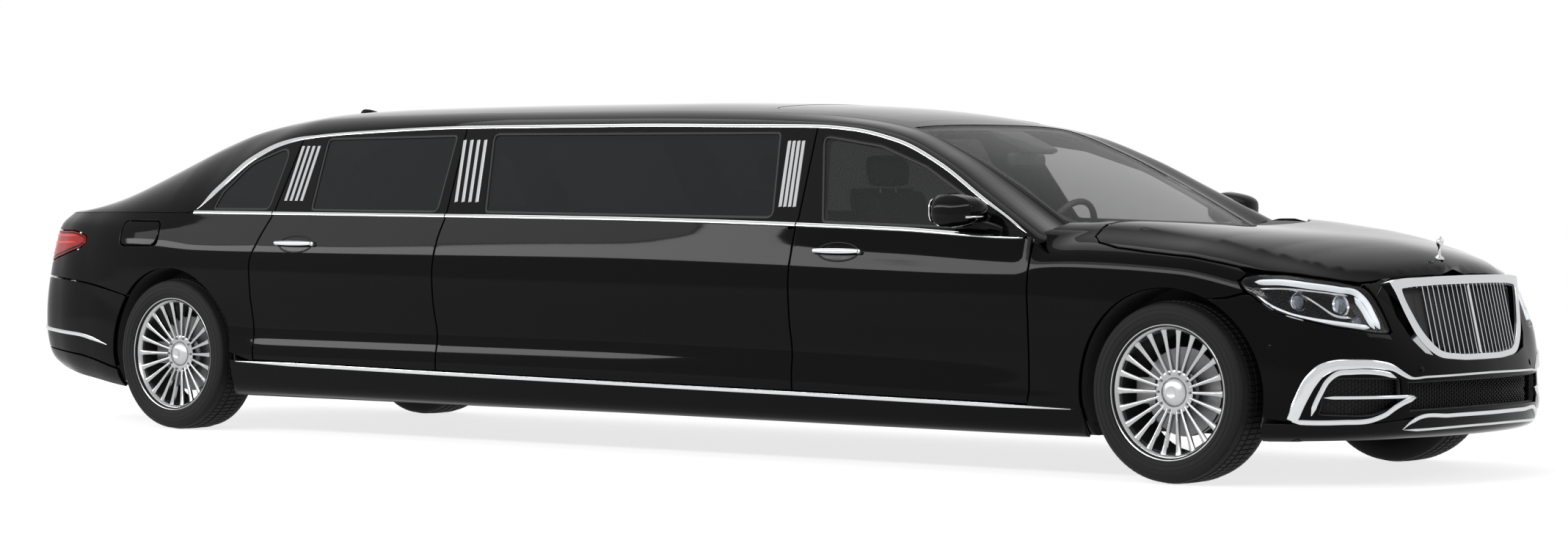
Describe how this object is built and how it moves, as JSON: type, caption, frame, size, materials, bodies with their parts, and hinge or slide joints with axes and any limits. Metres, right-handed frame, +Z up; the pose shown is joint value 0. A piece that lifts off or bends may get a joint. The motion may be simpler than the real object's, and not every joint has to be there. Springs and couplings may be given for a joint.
{
  "type": "stretch limousine",
  "caption": "Long black saloon with a fixed glazed panel let in between its doors; doors, lids, flap and wheels all move.",
  "frame": {"origin": "on the ground, in the middle of the overall length and width", "axes": "+X forward, +Y to the car's left, +Z up"},
  "size_m": [7.6018, 2.13, 1.496],
  "materials": {
    "paint": "gloss black enamel",
    "bright_trim": "polished",
    "tinted_glass": "dark tint",
    "lamp_lens": "clear",
    "tail_lens": "deep red",
    "dark_trim": "grained black",
    "underbody": "satin black",
    "cast_parts": "as cast",
    "steel": "brushed",
    "alloy": "bright silver",
    "tyre": "moulded",
    "cabin_trim": "soft black",
    "leather": "black hide"
  },
  "bodies": {
    "chassis": {"floor_pan": "underbody", "roof_panel": "paint", "windscreen_pillars": "paint", "front_wings": "paint", "middle_panels": "paint", "rear_quarters": "paint", "front_bumper": "paint", "rear_bumper": "paint", "grille": "bright_trim", "cowl_panel": "dark_trim", "windscreen": "tinted_glass", "rear_window": "tinted_glass", "fixed_side_glass": "tinted_glass", "headlamps": "lamp_lens", "tail_lamps": "tail_lens", "wheel_arch_liners": "dark_trim", "hinge_posts": "paint", "bulkheads": "underbody", "door_hinges": "steel", "lid_pins": "steel", "front_axle": "cast_parts", "rear_axle": "cast_parts", "engine_block": "cast_parts", "radiator": "alloy", "dashboard": "cabin_trim", "front_seats": "leather", "rear_seats": "leather"},
    "bonnet": {"bonnet": "paint", "bonnet_ornament": "bright_trim"},
    "boot_lid": {"boot_lid": "paint"},
    "fuel_flap": {"fuel_flap": "paint"},
    "steering_wheel": {"steering_wheel": "cabin_trim"},
    "front_door_left": {"front_door_left": "paint", "front_door_glass_left": "tinted_glass", "door_mirror_left": "paint"},
    "rear_door_left": {"rear_door_left": "paint", "rear_door_glass_left": "tinted_glass"},
    "front_knuckle_left": {"front_knuckle_left": "cast_parts"},
    "wheel_front_left": {"wheel_front_left": "alloy", "tyre_front_left": "tyre"},
    "wheel_rear_left": {"wheel_rear_left": "alloy", "tyre_rear_left": "tyre"},
    "front_door_right": {"front_door_right": "paint", "front_door_glass_right": "tinted_glass", "door_mirror_right": "paint"},
    "rear_door_right": {"rear_door_right": "paint", "rear_door_glass_right": "tinted_glass"},
    "front_knuckle_right": {"front_knuckle_right": "cast_parts"},
    "wheel_front_right": {"wheel_front_right": "alloy", "tyre_front_right": "tyre"},
    "wheel_rear_right": {"wheel_rear_right": "alloy", "tyre_rear_right": "tyre"}
  },
  "joints": [
    {"name": "front_door_left_swing", "type": "hinge", "parent": "chassis", "child": "front_door_left", "pos_m": [2.21, 0.93, 0.62], "axis": [0, 0, -1], "range_deg": [0, 68]},
    {"name": "rear_door_left_swing", "type": "hinge", "parent": "chassis", "child": "rear_door_left", "pos_m": [-0.99, 0.93, 0.62], "axis": [0, 0, -1], "range_deg": [0, 68]},
    {"name": "front_door_right_swing", "type": "hinge", "parent": "chassis", "child": "front_door_right", "pos_m": [2.21, -0.93, 0.62], "axis": [0, 0, 1], "range_deg": [0, 68]},
    {"name": "rear_door_right_swing", "type": "hinge", "parent": "chassis", "child": "rear_door_right", "pos_m": [-0.99, -0.93, 0.62], "axis": [0, 0, 1], "range_deg": [0, 68]},
    {"name": "steer_right_road_wheel", "type": "hinge", "parent": "chassis", "child": "front_knuckle_right", "pos_m": [2.91, -0.745, 0.35], "axis": [0, 0, 1], "range_deg": [-35, 35]},
    {"name": "steer_left_road_wheel", "type": "hinge", "parent": "chassis", "child": "front_knuckle_left", "pos_m": [2.91, 0.745, 0.35], "axis": [0, 0, 1], "range_deg": [-35, 35]},
    {"name": "steering_wheel_turn", "type": "hinge", "parent": "chassis", "child": "steering_wheel", "pos_m": [1.55, 0.37, 0.9], "axis": [-0.9135, 0, 0.4067], "range_deg": [-490, 490]},
    {"name": "wheel_front_left_spin", "type": "hinge", "parent": "front_knuckle_left", "child": "wheel_front_left", "pos_m": [2.91, 0.812, 0.35], "axis": [0, 1, 0], "continuous": true},
    {"name": "wheel_rear_left_spin", "type": "hinge", "parent": "chassis", "child": "wheel_rear_left", "pos_m": [-2.63, 0.812, 0.35], "axis": [0, 1, 0], "continuous": true},
    {"name": "wheel_front_right_spin", "type": "hinge", "parent": "front_knuckle_right", "child": "wheel_front_right", "pos_m": [2.91, -0.812, 0.35], "axis": [0, 1, 0], "continuous": true},
    {"name": "wheel_rear_right_spin", "type": "hinge", "parent": "chassis", "child": "wheel_rear_right", "pos_m": [-2.63, -0.812, 0.35], "axis": [0, 1, 0], "continuous": true},
    {"name": "bonnet_lift", "type": "hinge", "parent": "chassis", "child": "bonnet", "pos_m": [2.51, 0, 0.98005], "axis": [0, -1, 0], "range_deg": [0, 50]},
    {"name": "boot_lid_lift", "type": "hinge", "parent": "chassis", "child": "boot_lid", "pos_m": [-3.466, 0, 1.01583], "axis": [0, 1, 0], "range_deg": [0, 80]},
    {"name": "fuel_flap_swing", "type": "hinge", "parent": "chassis", "child": "fuel_flap", "pos_m": [-2.726, -0.91275, 0.909], "axis": [0, 0.2374, 0.9714], "range_deg": [0, 75]}
  ],
  "couplings": [
    {"joint": "steer_left_road_wheel", "follows": "steering_wheel_turn", "ratio": 0.071429},
    {"joint": "steer_right_road_wheel", "follows": "steering_wheel_turn", "ratio": 0.071429}
  ]
}
